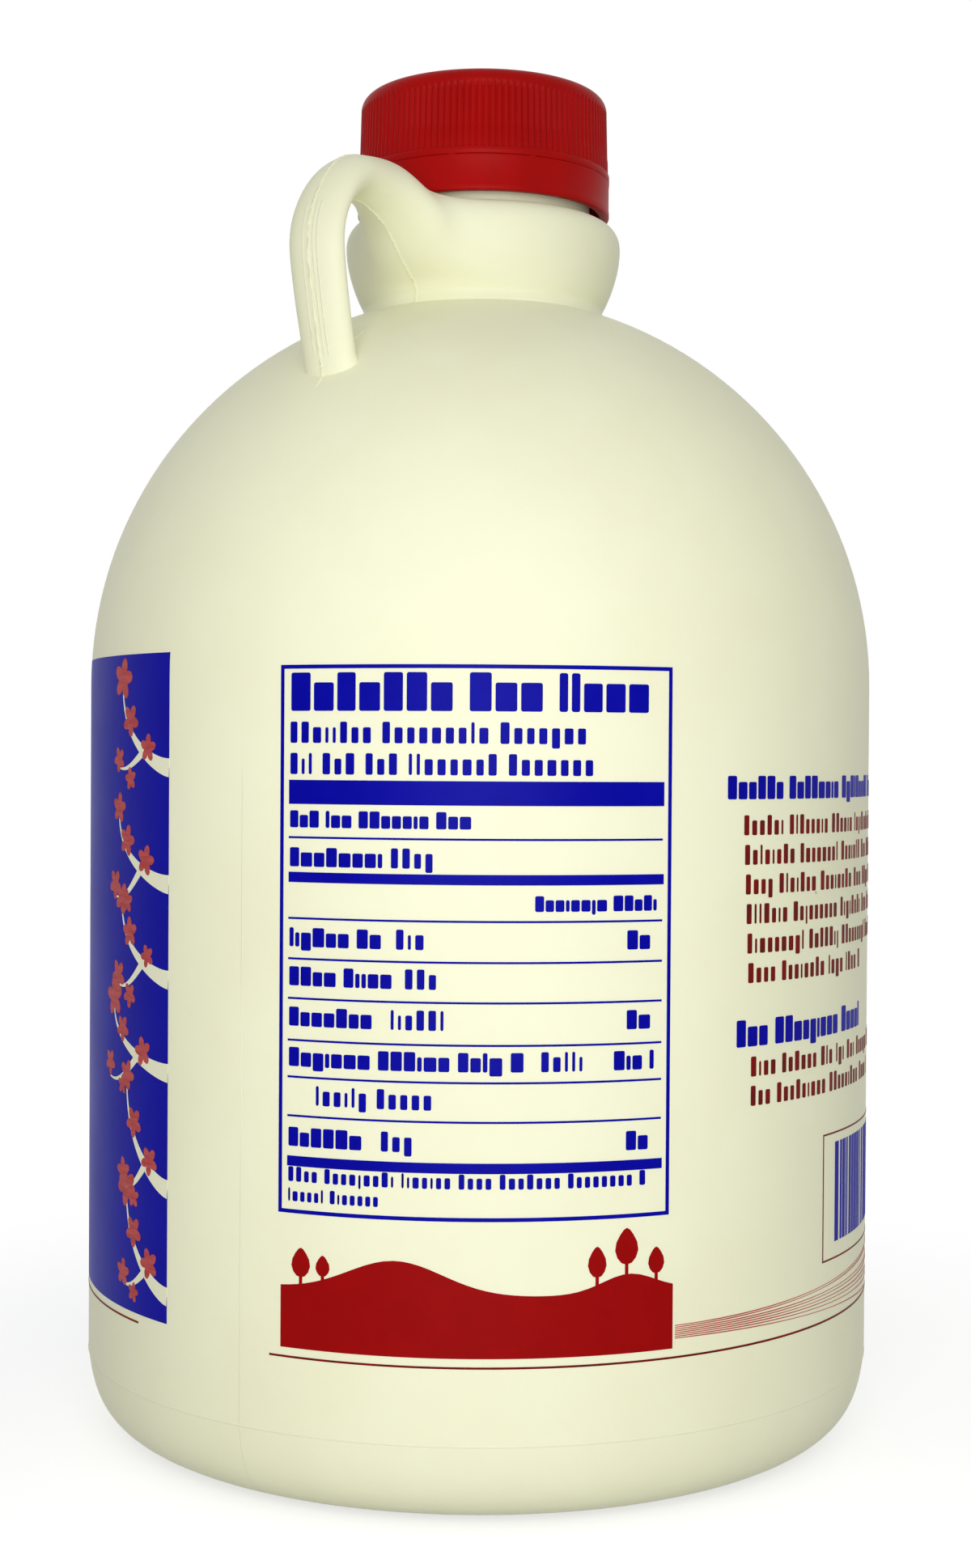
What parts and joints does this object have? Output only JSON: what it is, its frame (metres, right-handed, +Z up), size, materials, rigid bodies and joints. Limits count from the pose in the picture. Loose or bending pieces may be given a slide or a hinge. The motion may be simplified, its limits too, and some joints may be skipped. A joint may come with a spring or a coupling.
{
  "type": "maple syrup jug",
  "caption": "Round blow-moulded jug with a domed top, a finger-loop handle at the collar and a fluted screw cap with its tamper band.",
  "frame": {"origin": "centre of the flat foot ring that the jug stands on", "axes": "+Z up along the jug's axis, +X towards the handle, so the large front panel faces -Y"},
  "size_m": [0.128, 0.128, 0.2183],
  "materials": {
    "cream_plastic": "satin blow-moulded polyethylene with fine orange peel",
    "red_plastic": "satin moulded polypropylene",
    "blue_ink": "screen-printed ink",
    "red_ink": "screen-printed ink",
    "brown_ink": "screen-printed ink"
  },
  "bodies": {
    "root": {"jug": "cream_plastic", "cap": "red_plastic", "tamper_band": "red_plastic"}
  },
  "joints": []
}
